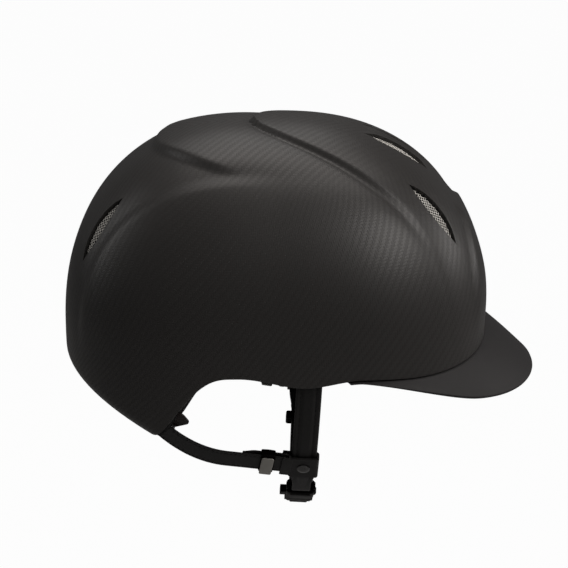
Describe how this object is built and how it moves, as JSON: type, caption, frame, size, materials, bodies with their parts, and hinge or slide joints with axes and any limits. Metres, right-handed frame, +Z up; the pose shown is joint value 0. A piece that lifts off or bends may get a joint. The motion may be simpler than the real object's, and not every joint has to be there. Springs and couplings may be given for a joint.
{
  "type": "riding helmet",
  "caption": "Riding helmet with a ribbed woven-laminate shell, crescent mesh vents, a soft peak, a padded shock liner and a buckled leather harness.",
  "frame": {"origin": "middle of the head space, at the level of the brow and midway between front and back of the shell form", "axes": "+X forward to the peak, +Y to the wearer's left, +Z up"},
  "size_m": [0.301, 0.212, 0.261],
  "materials": {
    "shell": "satin woven laminate",
    "foam": "matt foam",
    "trim": "matt knit",
    "peak": "matt soft",
    "mesh": "satin",
    "tan_leather": "satin",
    "lining": "matt knit",
    "hook_tape": "matt",
    "slider": "satin",
    "strap_leather": "satin grained",
    "anchor_metal": "brushed",
    "stud_metal": "brushed",
    "buckle_plastic": "glossy"
  },
  "bodies": {
    "helmet": {"outer_shell": "shell", "shock_liner": "foam", "rim_trim": "trim", "peak": "peak", "vent_mesh_upper_right": "mesh", "vent_mesh_upper_left": "mesh", "vent_mesh_lower_right": "mesh", "vent_mesh_lower_left": "mesh", "vent_mesh_rear_right": "mesh", "vent_mesh_rear_left": "mesh", "brow_pad": "lining", "crown_pad": "lining", "side_pad_right": "lining", "side_pad_left": "lining", "nape_pad": "tan_leather", "hook_patches": "hook_tape", "front_strap_right": "strap_leather", "front_strap_left": "strap_leather", "rear_strap_right": "strap_leather", "rear_strap_left": "strap_leather", "front_anchor_right": "anchor_metal", "front_anchor_left": "anchor_metal", "rear_anchor_right": "anchor_metal", "rear_anchor_left": "anchor_metal", "anchor_rivets": "anchor_metal", "anchor_tab_right": "tan_leather", "anchor_tab_left": "tan_leather", "strap_keeper_right": "strap_leather", "strap_keeper_left": "strap_leather", "press_studs": "stud_metal", "buckle_housing": "buckle_plastic", "buckle_plug": "buckle_plastic", "chin_adjuster": "buckle_plastic"},
    "slider_right": {"strap_slider_right": "slider"},
    "slider_left": {"strap_slider_left": "slider"},
    "release_front": {"release_arm_front": "buckle_plastic"},
    "release_rear": {"release_arm_rear": "buckle_plastic"}
  },
  "joints": [
    {"name": "slider_right_slide", "type": "slide", "parent": "helmet", "child": "slider_right", "axis": [-0.9893, -0.0537, 0.1355], "range_m": [-0.0015, 0.016]},
    {"name": "slider_left_slide", "type": "slide", "parent": "helmet", "child": "slider_left", "axis": [-0.9893, 0.0537, 0.1355], "range_m": [-0.0015, 0.016]},
    {"name": "release_front_flex", "type": "hinge", "parent": "helmet", "child": "release_front", "pos_m": [0.02185, -0.02943, -0.11915], "axis": [0.0438, 0.5464, 0.8364], "range_deg": [-8, 0], "stiffness_Nm_per_rad": 0.2},
    {"name": "release_rear_flex", "type": "hinge", "parent": "helmet", "child": "release_rear", "pos_m": [0.01146, -0.02943, -0.1186], "axis": [0.0438, 0.5464, 0.8364], "range_deg": [0, 8], "stiffness_Nm_per_rad": 0.2}
  ]
}
